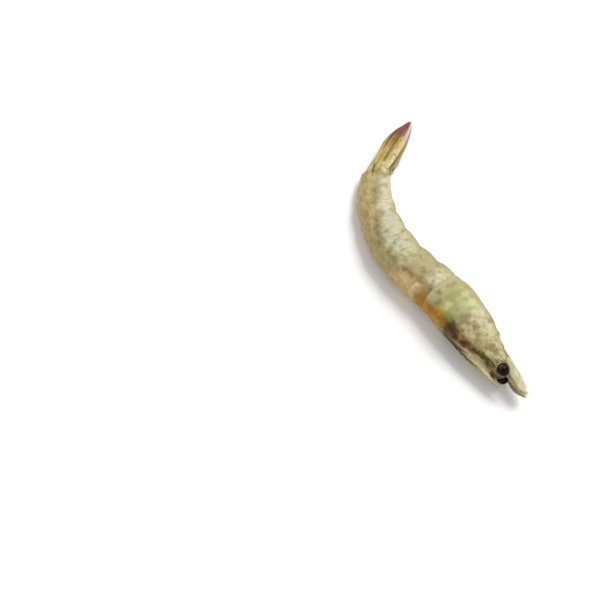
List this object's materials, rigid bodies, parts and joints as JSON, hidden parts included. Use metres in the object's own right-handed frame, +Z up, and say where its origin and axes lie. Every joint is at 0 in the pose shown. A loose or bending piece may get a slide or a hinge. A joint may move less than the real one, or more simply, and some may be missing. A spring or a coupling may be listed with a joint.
{
  "type": "raw prawn",
  "caption": "Whole raw prawn with its head, legs and tail fan, lying on its right side with its tail gently curled.",
  "frame": {"origin": "middle of the prawn's outline, on the surface it lies on", "axes": "+X along the prawn towards its head, +Y towards its belly side, +Z up off its left side"},
  "size_m": [0.1356, 0.039, 0.0164],
  "materials": {
    "head_shell": "wet translucent shell, grey-green and pink-brown mottling over dark organs along the back",
    "ring_shell": "wet translucent shell over pale flesh, olive-grey mottling and dark specks",
    "tail_blade": "wet thin shell, yellow with brown ribs and a purple-brown tip",
    "eye": "wet glossy black",
    "feeler": "thin translucent grey-green shell with fine dark specks",
    "leg": "wet translucent pale cream shell"
  },
  "bodies": {
    "root": {"head_shell": "head_shell", "body_ring_1": "ring_shell", "body_ring_2": "ring_shell", "body_ring_3": "ring_shell", "body_ring_4": "ring_shell", "body_ring_5": "ring_shell", "body_ring_6": "ring_shell", "tail_spike": "tail_blade", "tail_root_left": "tail_blade", "tail_inner_blade_left": "tail_blade", "tail_outer_blade_left": "tail_blade", "tail_root_right": "tail_blade", "tail_inner_blade_right": "tail_blade", "tail_outer_blade_right": "tail_blade", "eye_left": "eye", "eye_right": "eye", "small_feeler_left": "feeler", "small_feeler_right": "feeler", "long_feeler_left": "leg", "long_feeler_right": "leg", "feeler_scale_left": "feeler", "feeler_scale_right": "feeler", "mouth_leg_left": "leg", "mouth_leg_right": "leg", "walking_leg_1_left": "leg", "walking_leg_2_left": "leg", "walking_leg_3_left": "leg", "walking_leg_4_left": "leg", "walking_leg_5_left": "leg", "walking_leg_1_right": "leg", "walking_leg_2_right": "leg", "walking_leg_3_right": "leg", "walking_leg_4_right": "leg", "walking_leg_5_right": "leg", "swimming_leg_1_left": "leg", "swimming_leg_2_left": "leg", "swimming_leg_3_left": "leg", "swimming_leg_4_left": "leg", "swimming_leg_5_left": "leg", "swimming_leg_1_right": "leg", "swimming_leg_2_right": "leg", "swimming_leg_3_right": "leg", "swimming_leg_4_right": "leg", "swimming_leg_5_right": "leg"}
  },
  "joints": []
}
